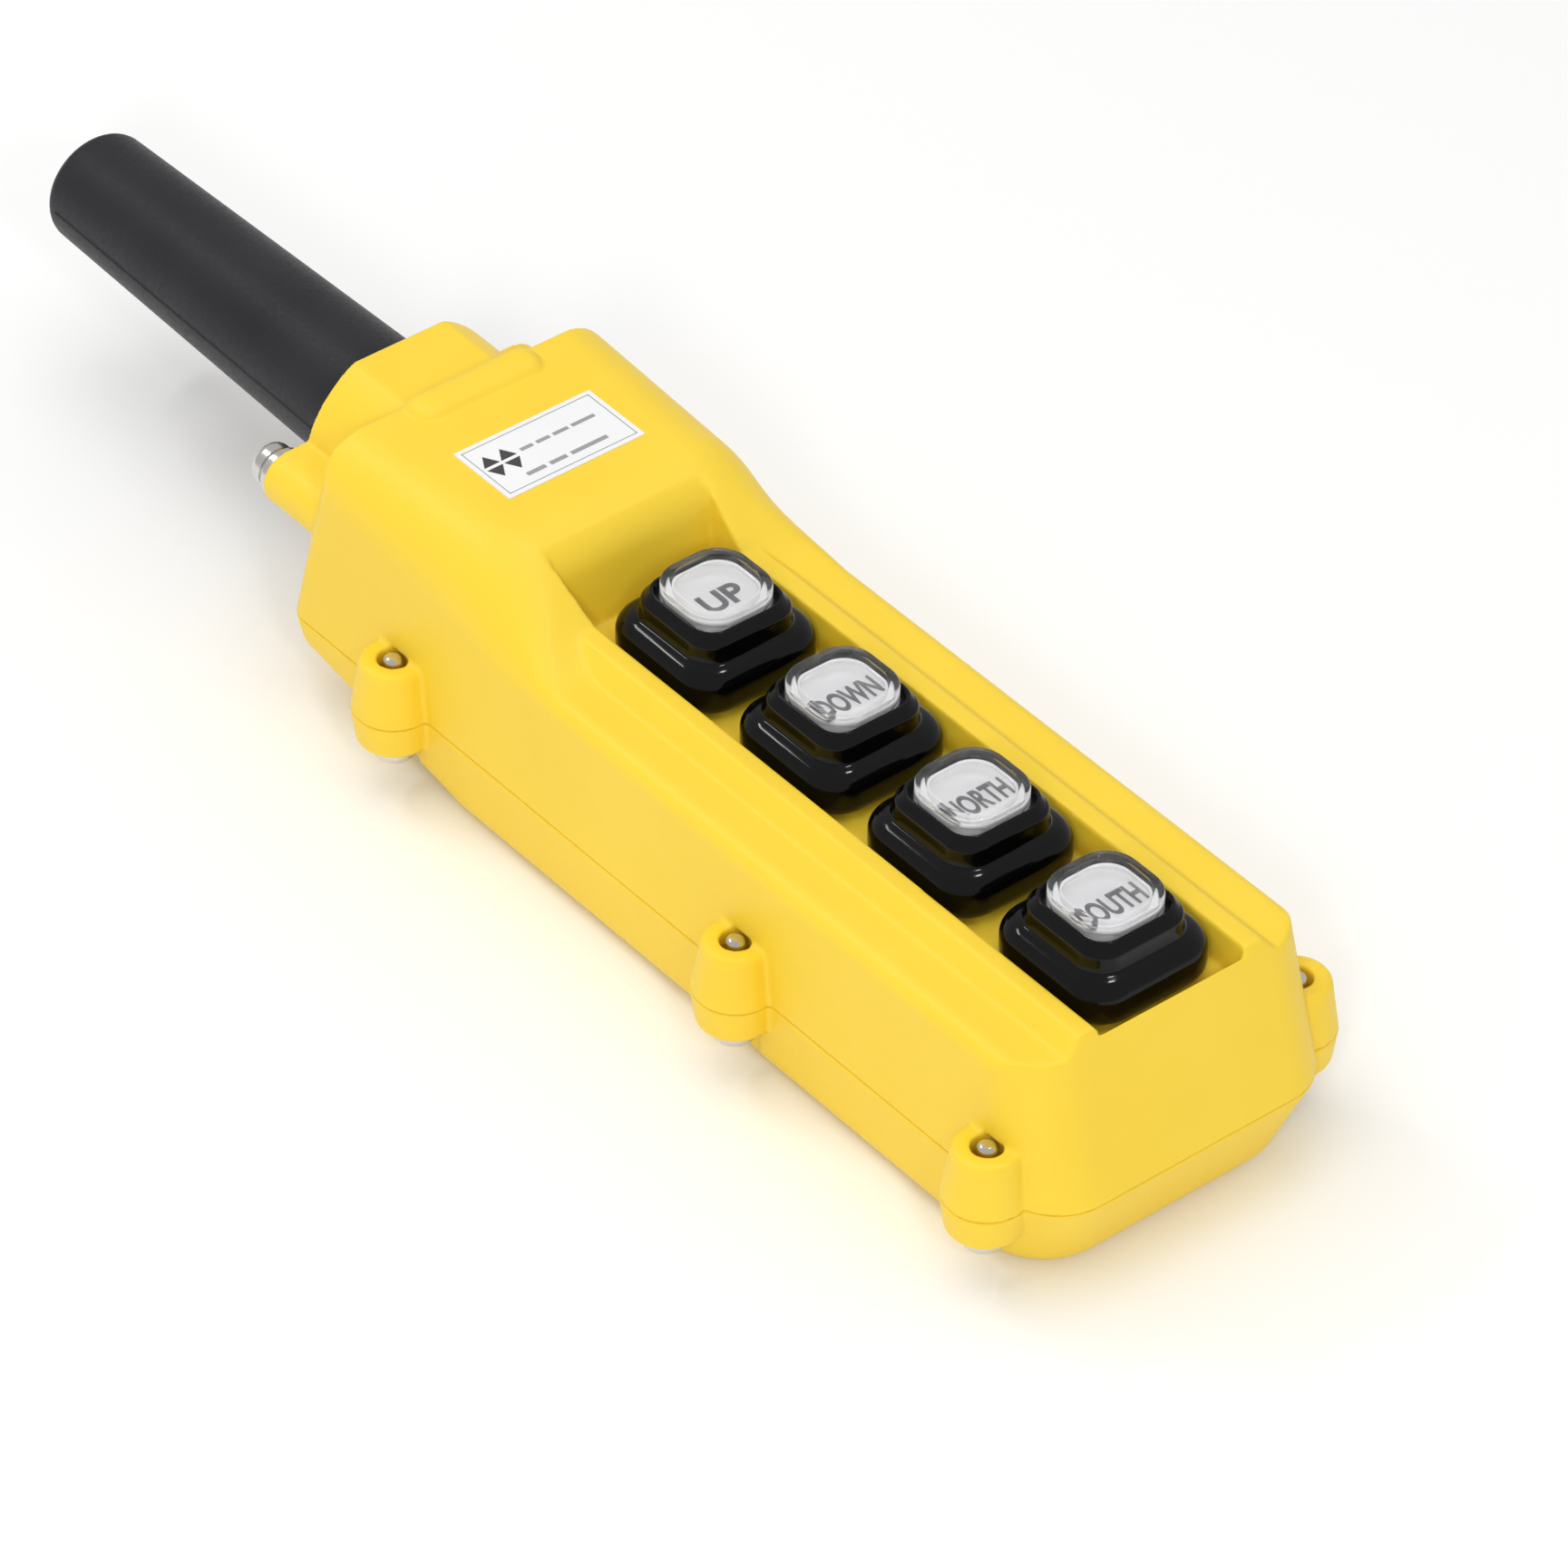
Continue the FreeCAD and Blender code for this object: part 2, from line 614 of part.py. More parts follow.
def cable_sleeve():
    """The rubber sleeve: a flange held inside the neck and a tapered tube with a rounded tip."""
    flange_y = HEAD_END_Y - 9.5
    flange_end_y = HEAD_END_Y - 6.5
    axis_point = Vector(0, flange_y, SLEEVE_AXIS_Z)
    flange = rod(SLEEVE_FLANGE_RADIUS, axis_point, Vector(0, flange_end_y, SLEEVE_AXIS_Z))
    neck_part = rod(
        SLEEVE_NECK_RADIUS, Vector(0, flange_y, SLEEVE_AXIS_Z), Vector(0, NECK_END_Y, SLEEVE_AXIS_Z)
    )
    tube = cone(
        SLEEVE_NECK_RADIUS,
        SLEEVE_TIP_RADIUS,
        Vector(0, NECK_END_Y, SLEEVE_AXIS_Z),
        Vector(0, SLEEVE_TIP_Y, SLEEVE_AXIS_Z),
    )
    tube = tube.makeFillet(2.5, edges_where(tube, lambda b: b.YMin > SLEEVE_TIP_Y - 0.1))
    sleeve = flange.fuse(neck_part).fuse(tube).removeSplitter()
    bore = rod(
        CABLE_RADIUS, Vector(0, flange_y - 1, SLEEVE_AXIS_Z), Vector(0, SLEEVE_TIP_Y + 1, SLEEVE_AXIS_Z)
    )
    return sleeve.cut(bore)


def sleeve_ring():
    """The steel ring that presses the sleeve's flange against the head wall."""
    end_y = HEAD_END_Y - 9.5
    ring = rod(
        SLEEVE_FLANGE_RADIUS, Vector(0, end_y - 2.0, SLEEVE_AXIS_Z), Vector(0, end_y, SLEEVE_AXIS_Z)
    )
    hole = rod(9.0, Vector(0, end_y - 3.0, SLEEVE_AXIS_Z), Vector(0, end_y + 1.0, SLEEVE_AXIS_Z))
    return ring.cut(hole)


def clamp_half(z_low, z_high):
    bar = box(-18.5, 18.5, CLAMP_Y - 5, CLAMP_Y + 5, z_low, z_high)
    groove = rod(
        CABLE_RADIUS, Vector(0, CLAMP_Y - 6, SLEEVE_AXIS_Z), Vector(0, CLAMP_Y + 6, SLEEVE_AXIS_Z)
    )
    bar = bar.cut(groove)
    for x in (-CLAMP_POST_X, CLAMP_POST_X):
        bar = bar.cut(rod(BLOCK_SCREW_RADIUS + 0.1, Vector(x, CLAMP_Y, 20), Vector(x, CLAMP_Y, 60)))
    return bar


def clamp_screws():
    return [
        pan_screw(Vector(x, CLAMP_Y, 29.5), Z_AXIS, BLOCK_SCREW_RADIUS - 0.03, 2.8, 2.0, 26.0)
        for x in (-CLAMP_POST_X, CLAMP_POST_X)
    ]


# ---------- buttons ----------

def button_lens(y):
    body = square_pillar(LENS_HALF, 6.0, y, LENS_BASE_Z, LENS_TOP_Z, LENS_HALF - 0.3)
    body = body.makeFillet(0.5, edges_where(body, lambda b: b.ZMin > LENS_TOP_Z - 0.01))
    room = square_pillar(8.0, 5.2, y, LENS_BASE_Z - 1, LENS_BASE_Z + 1.8)
    dish = square_pillar(6.9, 4.4, y, LENS_TOP_Z - 0.9, LENS_TOP_Z + 1, 7.2)
    return body.cut(room).cut(dish)


def legend_plate(y):
    return square_pillar(7.8, 5.1, y, LENS_BASE_Z + 1.2, LENS_BASE_Z + 1.7)


def plunger(y):
    crown = square_pillar(7.8, 5.1, y, LENS_BASE_Z + 0.05, LENS_BASE_Z + 1.2)
    stem = square_pillar(STEM_HALF, 1.5, y, STEM_BOTTOM_Z, LENS_BASE_Z + 0.6)
    return crown.fuse(stem).removeSplitter()


def boot_shape(y, lower_half, upper_half, base_z, step_z, top_z, corner):
    """The two tiers of a boot, outer skin or inner room."""
    lower = square_pillar(lower_half, corner, y, base_z, step_z, lower_half - 0.6)
    upper = square_pillar(upper_half, corner - 1.0, y, step_z - 1.0, top_z, upper_half - 0.5)
    return lower, upper


def button_boot(y):
    """The rubber boot: two tiers above the floor, a waist in the floor hole and a lip below it."""
    lower, upper = boot_shape(y, BOOT_LOWER_HALF, BOOT_UPPER_HALF, FLOOR_Z, BOOT_STEP_Z, LENS_BASE_Z, 7.0)
    lower = lower.makeFillet(3.0, edges_where(lower, lambda b: b.ZMin > BOOT_STEP_Z - 0.01))
    upper = upper.makeFillet(1.2, edges_where(upper, lambda b: b.ZMin > LENS_BASE_Z - 0.01))
    boot = lower.fuse(upper)
    under_floor_z = FLOOR_Z - WALL
    boot = boot.fuse(square_pillar(FLOOR_HOLE_HALF - 0.02, 4.98, y, under_floor_z - 1, FLOOR_Z + 0.5))
    boot = boot.fuse(square_pillar(13.0, 5.0, y, under_floor_z - 1.5, under_floor_z))
    lower_room, upper_room = boot_shape(
        y,
        BOOT_LOWER_HALF - BOOT_SKIN,
        BOOT_UPPER_HALF - BOOT_SKIN,
        FLOOR_Z + BOOT_SKIN,
        BOOT_STEP_Z - BOOT_SKIN,
        LENS_BASE_Z - BOOT_SKIN,
        5.6,
    )
    boot = boot.cut(lower_room).cut(upper_room)
    boot = boot.cut(square_pillar(9.4, 3.6, y, under_floor_z - 3, FLOOR_Z + BOOT_SKIN + 1))
    return boot.cut(square_pillar(STEM_HALF + 0.05, 1.5, y, FLOOR_Z, LENS_BASE_Z + 1)).removeSplitter()


def return_spring(y):
    """A compression coil under the plunger."""
    wire_radius = 0.5
    coil_radius = 3.4
    low_z = BLOCK_FLOOR_Z + wire_radius + 0.05
    height = STEM_BOTTOM_Z - CONTACT_THICKNESS - wire_radius - 0.05 - low_z
    path = Part.makeHelix(height / 5, height, coil_radius)
    section = Part.Wire(Part.makeCircle(wire_radius, Vector(coil_radius, 0, 0), Y_AXIS))
    coil = Part.Wire(path).makePipeShell([section], True, True)
    coil.translate(Vector(0, y, low_z))
    return coil


def moving_contact(y):
    bridge = box(-9.5, 9.5, y - 2.5, y + 2.5, STEM_BOTTOM_Z - CONTACT_THICKNESS, STEM_BOTTOM_Z)
    for side in (-1, 1):
        point = Vector(side * 8.0, y, STEM_BOTTOM_Z - CONTACT_THICKNESS)
        bridge = bridge.fuse(rod(1.4, point, point - Z_AXIS * POINT_HEIGHT))
    return bridge


def fixed_contacts(y):
    """Two brass strips, each with a contact point inside the block and a screw hole outside."""
    strips = []
    for side in (-1, 1):
        low_x, high_x = sorted((side * 6.0, side * 22.0))
        strip = box(low_x, high_x, y - 3.0, y + 3.0, TERMINAL_Z - CONTACT_THICKNESS, TERMINAL_Z - 0.4)
        point = Vector(side * 8.0, y, TERMINAL_Z - 0.4)
        strip = strip.fuse(rod(1.4, point, point + Z_AXIS * POINT_HEIGHT))
        hole = rod(1.6, Vector(side * 18.5, y, 20), Vector(side * 18.5, y, 30))
        strips.append(strip.cut(hole))
    return strips


def terminal_screws(y):
    screws = []
    for side in (-1, 1):
        base = Vector(side * 18.5, y, TERMINAL_Z - CONTACT_THICKNESS)
        screws.append(pan_screw(base, Z_AXIS, 1.5, 2.9, 2.2, 6.0))
    return screws


def switch_block(y):
    """The moulded block that guides the stem and holds the fixed contacts."""
    body = box(-BLOCK_HALF_X, BLOCK_HALF_X, y - BLOCK_HALF_Y, y + BLOCK_HALF_Y, BLOCK_BOTTOM_Z, BLOCK_TOP_Z)
    body = body.makeFillet(1.0, edges_where(body, lambda b: b.ZLength > 20))
    wings = box(-23.0, 23.0, y - BLOCK_HALF_Y, y + BLOCK_HALF_Y, TERMINAL_Z, 32.0)
    body = body.fuse(wings).removeSplitter()
    body = body.cut(box(-11.0, 11.0, y - 6.0, y + 6.0, BLOCK_FLOOR_Z, 31.0))
    slot_half = 3.05
    strip_low_z = TERMINAL_Z - CONTACT_THICKNESS
    body = body.cut(box(-24, 24, y - slot_half, y + slot_half, strip_low_z, TERMINAL_Z - 0.4))
    for side in (-1, 1):
        body = body.cut(rod(1.53, Vector(side * 18.5, y, 20), Vector(side * 18.5, y, 30.5)))
    for x, post_y in ((-POST_X, y - POST_SPACING_Y), (POST_X, y + POST_SPACING_Y)):
        body = body.cut(rod(1.7, Vector(x, post_y, 20), Vector(x, post_y, 40)))
    guide = square_pillar(STEM_HALF + 0.08, 1.5, y, 30.0, BLOCK_TOP_Z + 1)
    return body.cut(guide)


def boot_frame(y):
    """The frame that presses a boot's lip against the underside of the floor."""
    top_z = FLOOR_Z - WALL - 1.5
    frame = square_pillar(14.0, 2.0, y, BLOCK_TOP_Z, top_z)
    return frame.cut(square_pillar(9.4, 3.6, y, BLOCK_TOP_Z - 1, top_z + 1))


def label_plate():
    centre_y = 19.3
    half_x = 15.4
    half_y = 8.15
    return box(-half_x, half_x, centre_y - half_y, centre_y + half_y, HEAD_TOP_Z, HEAD_TOP_Z + 0.25)


def insulating_sheet():
    """The fibre sheet between the live parts and the rear cover."""
    wire = [
        rounded_outline(24.5, LOWER_END_Y + 14, BACK_RAMP_START_Y - 1, z, 7.0, 2.0)
        for z in (WALL, WALL + 0.8)
    ]
    return loft(*wire)


# ---------- export ----------

def write(name, solids):
    solids = solids if isinstance(solids, list) else [solids]
    shape = solids[0] if len(solids) == 1 else Part.makeCompound(solids)
    for solid in shape.Solids:
        if not solid.isValid():
            print("not valid:", name)
    print(name, len(shape.Solids), "solids", round(shape.Volume / 1000, 2), "cm3")
    shape.exportStep("parts/" + name + ".step")


def main():
    os.makedirs("parts", exist_ok=True)
    write("front_cover", front_cover())
    write("rear_cover", rear_cover())
    write("housing_gasket", gasket())
    write("housing_screws", housing_screws())
    write("thread_inserts", thread_inserts())
    write("cable_sleeve", cable_sleeve())
    write("sleeve_ring", sleeve_ring())
    write("lug_screw", lug_screw())
    write("lug_washers", lug_washers())
    write("lug_nut", lug_nut())
    write("cable_clamp_seat", clamp_half(SLEEVE_AXIS_Z + 0.6, CLAMP_TOP_Z))
    write("cable_clamp_saddle", clamp_half(29.5, SLEEVE_AXIS_Z - 0.6))
    write("clamp_screws", clamp_screws())
    write("label_plate", label_plate())
    write("insulating_sheet", insulating_sheet())
    write("block_screws", block_screws())
    for name, y in zip(BUTTON_NAMES, button_places()):
        write("lens_" + name, button_lens(y))
        write("legend_" + name, legend_plate(y))
        write("boot_" + name, button_boot(y))
        write("plunger_" + name, plunger(y))
        write("return_spring_" + name, return_spring(y))
        write("moving_contact_" + name, moving_contact(y))
        write("fixed_contacts_" + name, fixed_contacts(y))
        write("terminal_screws_" + name, terminal_screws(y))
        write("switch_block_" + name, switch_block(y))
        write("boot_frame_" + name, boot_frame(y))


main()
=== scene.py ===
import json
import math

import bmesh
import bpy
from mathutils import Matrix, Vector


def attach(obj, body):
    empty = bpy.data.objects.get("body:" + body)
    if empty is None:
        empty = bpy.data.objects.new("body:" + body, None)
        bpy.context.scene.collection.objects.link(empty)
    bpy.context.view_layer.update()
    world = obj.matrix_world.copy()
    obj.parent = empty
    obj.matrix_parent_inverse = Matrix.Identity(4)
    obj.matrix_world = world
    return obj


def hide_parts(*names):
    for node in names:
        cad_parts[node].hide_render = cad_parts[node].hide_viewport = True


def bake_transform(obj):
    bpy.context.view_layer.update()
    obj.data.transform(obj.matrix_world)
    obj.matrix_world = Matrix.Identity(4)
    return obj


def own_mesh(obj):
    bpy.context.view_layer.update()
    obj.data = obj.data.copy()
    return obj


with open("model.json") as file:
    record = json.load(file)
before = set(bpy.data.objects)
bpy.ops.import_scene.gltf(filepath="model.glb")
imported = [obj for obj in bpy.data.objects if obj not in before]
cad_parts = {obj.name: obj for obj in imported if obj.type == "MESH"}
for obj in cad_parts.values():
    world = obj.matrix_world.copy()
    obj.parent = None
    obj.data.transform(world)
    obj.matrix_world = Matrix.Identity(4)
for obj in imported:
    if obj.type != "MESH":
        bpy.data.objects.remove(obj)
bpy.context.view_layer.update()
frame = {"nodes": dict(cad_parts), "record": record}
nodes = frame["nodes"]
scene = bpy.context.scene

MM = 0.001
# the values below are in millimetres
SEAM_Z = 18.5
SEAM_KEEP = 0.8
MOULD_VOXEL = 0.42
MOULD_ROUNDS = 6
SLEEVE_AXIS_Z = 38.9
SLEEVE_Y = (64.0, 156.5)
SLEEVE_RADII = (13.6, 11.48)
RIDGE_HEIGHT = 0.22
RIDGE_DEPTH = 0.4
RIDGE_HALF_TOP = 0.12
RIDGE_HALF_FOOT = 0.45
BUTTON_Y = {"up": -28.4, "down": -63.4, "north": -98.4, "south": -133.4}
BOOT_HALF = 14.75
LENS_CORNER = 6.2
LENS_INNER_CORNER = 5.6
LEGEND_Z = 58.23
WORD_SIZE = 7.3
WORD_WEIGHT = 0.24
WORD_WIDTH = 13.2
WORD_SHIFT = (-0.8, -2.8)
INK = 0.02
LABEL_X = 15.4
LABEL_Y = (11.15, 27.45)
LABEL_MARGIN = 0.95
LABEL_PRINT_Z = 61.955
LABEL_LINE = 0.2
FLOOR_HALF = 3000
FLOOR_Z = -0.1


# ---------- meshes ----------

def mesh_object(name, vertices, faces, smooth=True):
    """A new object from points in millimetres."""
    mesh = bpy.data.meshes.new(name)
    mesh.from_pydata([Vector(v) * MM for v in vertices], [], faces)
    mesh.validate()
    mesh.update()
    if smooth:
        mesh.shade_smooth()
    thing = bpy.data.objects.new(name, mesh)
    scene.collection.objects.link(thing)
    return thing


def welded_copy(node, name, smooth_angle=None):
    """A copy of a CAD node whose faces share their corners, optionally shaded smooth below an angle."""
    mesh = nodes[node].data.copy()
    mesh.materials.clear()
    thing = bpy.data.objects.new(name, mesh)
    scene.collection.objects.link(thing)
    work = bmesh.new()
    work.from_mesh(mesh)
    bmesh.ops.remove_doubles(work, verts=work.verts, dist=2e-6)
    work.to_mesh(mesh)
    work.free()
    if "custom_normal" in mesh.attributes:
        mesh.attributes.remove(mesh.attributes["custom_normal"])
    if smooth_angle is None:
        mesh.shade_smooth()
    else:
        mesh.set_sharp_from_angle(angle=math.radians(smooth_angle))
    return thing


def apply_modifiers(thing):
    """Turns a mesh with its modifiers into a plain mesh."""
    graph = bpy.context.evaluated_depsgraph_get()
    finished = bpy.data.meshes.new_from_object(thing.evaluated_get(graph))
    thing.modifiers.clear()
    thing.data = finished


def moulded_copy(node, name):
    """A copy of a CAD node with its edges softened as a mould leaves them, except along the seam."""
    thing = welded_copy(node, name)
    remesh = thing.modifiers.new("even", "REMESH")
    remesh.mode = "VOXEL"
    remesh.voxel_size = MOULD_VOXEL * MM
    remesh.use_smooth_shade = True
    apply_modifiers(thing)
    free = thing.vertex_groups.new(name="free")
    away = [v.index for v in thing.data.vertices if abs(v.co.z - SEAM_Z * MM) > SEAM_KEEP * MM]
    free.add(away, 1.0, "REPLACE")
    soften = thing.modifiers.new("soften", "SMOOTH")
    soften.factor = 0.5
    soften.iterations = MOULD_ROUNDS
    soften.vertex_group = "free"
    apply_modifiers(thing)
    thing.data.shade_smooth()
    return thing


def rounded_square(half, corner, y, z, count=12):
    """The points of a rounded square about a button's axis, counter-clockwise seen from above."""
    points = []
    for turn, (sx, sy) in enumerate([(1, 1), (-1, 1), (-1, -1), (1, -1)]):
        for step in range(count + 1):
            angle = math.radians(90 * turn + 90 * step / count)
            points.append((
                sx * (half - corner) + corner * math.cos(angle),
                y + sy * (half - corner) + corner * math.sin(angle),
                z,
            ))
    return points


def skin(rings, close_start=True, close_end=True, loop=False):
    """The faces that join equal rings of points."""
    size = len(rings[0])
    vertices = [p for ring in rings for p in ring]
    faces = []
    last = len(rings) if loop else len(rings) - 1
    for i in range(last):
        low = i * size
        high = ((i + 1) % len(rings)) * size
        for j in range(size):
            k = (j + 1) % size
            faces.append((low + j, low + k, high + k, high + j))
    if close_start and not loop:
        faces.append(tuple(reversed(range(size))))
    if close_end and not loop:
        faces.append(tuple(range((len(rings) - 1) * size, len(rings) * size)))
    return vertices, faces


def bend(centre, radius, start, end, steps=6):
    """Points of an arc in the (half width, height) plane, angles in degrees."""
    points = []
    for i in range(steps + 1):
        angle = math.radians(start + (end - start) * i / steps)
        points.append((centre[0] + radius * math.cos(angle), centre[1] + radius * math.sin(angle)))
    return points


# ---------- materials ----------

def new_material(name):
    """A material with its node tree and its main shader."""
    material = bpy.data.materials.new(name)
    material.use_nodes = True
    tree = material.node_tree
    shader = tree.nodes["Principled BSDF"]
    return material, tree, shader


def noise(tree, scale, detail=4.0):
    """A soft noise texture fixed to the object."""
    coordinates = tree.nodes.new("ShaderNodeTexCoord")
    texture = tree.nodes.new("ShaderNodeTexNoise")
    texture.inputs["Scale"].default_value = scale
    texture.inputs["Detail"].default_value = detail
    texture.inputs["Roughness"].default_value = 0.5
    tree.links.new(coordinates.outputs["Object"], texture.inputs["Vector"])
    return texture


def vary(tree, source, low, high, socket, start=0.3, end=0.7):
    """Sends a texture through a ramp of two values into a socket."""
    ramp = tree.nodes.new("ShaderNodeMapRange")
    ramp.inputs["From Min"].default_value = start
    ramp.inputs["From Max"].default_value = end
    ramp.inputs["To Min"].default_value = low
    ramp.inputs["To Max"].default_value = high
    tree.links.new(source, ramp.inputs["Value"])
    tree.links.new(ramp.outputs["Result"], socket)


def tint(tree, source, first, second, socket):
    """Mixes two colours by a texture."""
    ramp = tree.nodes.new("ShaderNodeValToRGB")
    ramp.color_ramp.elements[0].position = 0.3
    ramp.color_ramp.elements[0].color = (*first, 1)
    ramp.color_ramp.elements[1].position = 0.7
    ramp.color_ramp.elements[1].color = (*second, 1)
    tree.links.new(source, ramp.inputs["Fac"])
    tree.links.new(ramp.outputs["Color"], socket)


def bumps(tree, shader, height, distance, strength):
    """Raises a texture by a distance in millimetres."""
    bump = tree.nodes.new("ShaderNodeBump")
    bump.inputs["Distance"].default_value = distance * MM
    bump.inputs["Strength"].default_value = strength
    tree.links.new(height, bump.inputs["Height"])
    tree.links.new(bump.outputs["Normal"], shader.inputs["Normal"])


def surface(name, first, second, rough, bump=(900, 0.05, 0.3), metallic=0.0, specular=0.5, patch=40):
    """A procedural surface: two near colours in soft patches, varying roughness and a fine grain."""
    material, tree, shader = new_material(name)
    clouds = noise(tree, patch)
    grain = noise(tree, bump[0], 3.0)
    tint(tree, clouds.outputs["Fac"], first, second, shader.inputs["Base Color"])
    vary(tree, grain.outputs["Fac"], rough[0], rough[1], shader.inputs["Roughness"])
    bumps(tree, shader, grain.outputs["Fac"], bump[1], bump[2])
    shader.inputs["Metallic"].default_value = metallic
    shader.inputs["Specular IOR Level"].default_value = specular
    return material


yellow = surface("yellow_plastic", (0.905, 0.625, 0.034), (0.925, 0.65, 0.042), (0.40, 0.50),
                 bump=(1400, 0.04, 0.25), specular=0.4)
sleeve_black = surface("sleeve_rubber", (0.014, 0.014, 0.017), (0.020, 0.020, 0.024), (0.42, 0.55),
                       bump=(1100, 0.06, 0.4), specular=0.28)
boot_black = surface("boot_rubber", (0.0012, 0.0012, 0.0012), (0.002, 0.002, 0.0022), (0.08, 0.13),
                     bump=(300, 0.03, 0.08), specular=0.24)
legend_white = surface("legend_white", (0.86, 0.86, 0.87), (0.90, 0.90, 0.90), (0.35, 0.5))
legend_ink = surface("legend_ink", (0.085, 0.085, 0.09), (0.11, 0.11, 0.115), (0.5, 0.6))
label_white = surface("label_film", (0.84, 0.84, 0.85), (0.88, 0.88, 0.88), (0.3, 0.4))
label_ink = surface("label_ink", (0.03, 0.03, 0.032), (0.05, 0.05, 0.052), (0.4, 0.5))
label_grey = surface("label_grey", (0.30, 0.30, 0.31), (0.36, 0.36, 0.37), (0.4, 0.5))
screw_metal = surface("screw_steel", (0.62, 0.60, 0.57), (0.72, 0.70, 0.67), (0.16, 0.30),
                      bump=(700, 0.03, 0.2), metallic=1.0)
spring_metal = surface("spring_steel", (0.50, 0.50, 0.50), (0.60, 0.60, 0.60), (0.2, 0.32),
                       bump=(700, 0.03, 0.2), metallic=1.0)
brass = surface("brass", (0.72, 0.50, 0.20), (0.80, 0.57, 0.25), (0.22, 0.36),
                bump=(700, 0.03, 0.2), metallic=1.0)
gasket_black = surface("gasket_rubber", (0.018, 0.018, 0.018), (0.026, 0.026, 0.026), (0.5, 0.65))
stem_grey = surface("stem_plastic", (0.70, 0.70, 0.69), (0.76, 0.76, 0.75), (0.35, 0.5))
block_black = surface("block_plastic", (0.030, 0.030, 0.032), (0.042, 0.042, 0.045), (0.35, 0.5))
fibre = surface("fibre_sheet", (0.28, 0.17, 0.09), (0.34, 0.21, 0.11), (0.55, 0.7), patch=120)


def clear_plastic():
    """Clear plastic that shows its edges more than its faces."""
    material, tree, shader = new_material("clear_lens")
    grain = noise(tree, 500, 2.0)
    shader.inputs["Base Color"].default_value = (0.97, 0.97, 0.98, 1)
    vary(tree, grain.outputs["Fac"], 0.02, 0.07, shader.inputs["Roughness"])
    shader.inputs["IOR"].default_value = 1.49
    shader.inputs["Transmission Weight"].default_value = 1.0
    facing = tree.nodes.new("ShaderNodeLayerWeight")
    facing.inputs["Blend"].default_value = 0.35
    vary(tree, facing.outputs["Facing"], 0.38, 1.0, shader.inputs["Alpha"], 0.0, 0.5)
    bumps(tree, shader, grain.outputs["Fac"], 0.01, 0.05)
    return material


clear = clear_plastic()

SLOTS = {
    "yellow_plastic": yellow, "sleeve_rubber": sleeve_black, "boot_rubber": boot_black,
    "gasket_rubber": gasket_black, "clear_lens": clear, "legend_white": legend_white,
    "label_film": label_white, "stem_plastic": stem_grey, "block_plastic": block_black,
    "fibre_sheet": fibre, "screw_steel": screw_metal, "spring_steel": spring_metal, "brass": brass,
}


def dress(thing, material):
    """Gives an object its one material, which is named after its slot."""
    thing.data.materials.clear()
    thing.data.materials.append(material)


slot_of = {part["node"]: part["material_slot"] for part in frame["record"]["subparts"]}
for node, thing in nodes.items():
    dress(thing, SLOTS[slot_of[node]])


# ---------- housing ----------

front = moulded_copy("front_cover", "front_cover_moulded")
rear = moulded_copy("rear_cover", "rear_cover_moulded")
for thing, node in ((front, "front_cover"), (rear, "rear_cover")):
    dress(thing, yellow)
    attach(thing, "housing")
    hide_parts(node)

sleeve = welded_copy("cable_sleeve", "cable_sleeve_smooth", 30)
dress(sleeve, sleeve_black)
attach(sleeve, "housing")
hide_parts("cable_sleeve")


def parting_line(side):
    """The fine ridge the mould leaves along the sleeve."""
    rings = []
    for y, radius in zip(SLEEVE_Y, SLEEVE_RADII):
        ring = [
            (side * (radius - RIDGE_DEPTH), y, SLEEVE_AXIS_Z - RIDGE_HALF_FOOT),
            (side * (radius + RIDGE_HEIGHT), y, SLEEVE_AXIS_Z - RIDGE_HALF_TOP),
            (side * (radius + RIDGE_HEIGHT), y, SLEEVE_AXIS_Z + RIDGE_HALF_TOP),
            (side * (radius - RIDGE_DEPTH), y, SLEEVE_AXIS_Z + RIDGE_HALF_FOOT),
        ]
        rings.append(ring if side < 0 else list(reversed(ring)))
    name = "sleeve_ridge_left" if side < 0 else "sleeve_ridge_right"
    ridge = mesh_object(name, *skin(rings), smooth=False)
    dress(ridge, sleeve_black)
    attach(ridge, "housing")


parting_line(-1)
parting_line(1)


# ---------- buttons ----------

def boot(name, y):
    """The glossy two-tier boot, from its foot to the lip round the lens."""
    profile = [(11.2, 42.9), (11.6, 42.98)]
    profile += bend((11.45, 46.3), 3.3, -78, 0, 9)
    profile += bend((10.95, 48.8), 3.8, 0, 76, 10)
    profile += bend((11.9, 53.15), 0.62, 250, 190, 4)
    profile += [(11.05, 54.2)]
    profile += bend((10.0, 55.5), 1.05, 0, 66, 6)
    profile += bend((9.4, 57.7), 0.35, 40, 180, 6)
    profile += [(9.05, 56.45), (5.6, 56.45)]
    rings = []
    for half, z in profile:
        corner = max(2.0, 7.2 - (BOOT_HALF - half) * 0.55)
        rings.append(rounded_square(half, corner, y, z))
    vertices, faces = skin(rings, False, False)
    thing = mesh_object(f"boot_{name}_skin", vertices, faces)
    dress(thing, boot_black)
    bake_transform(thing)
    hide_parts(f"boot_{name}")


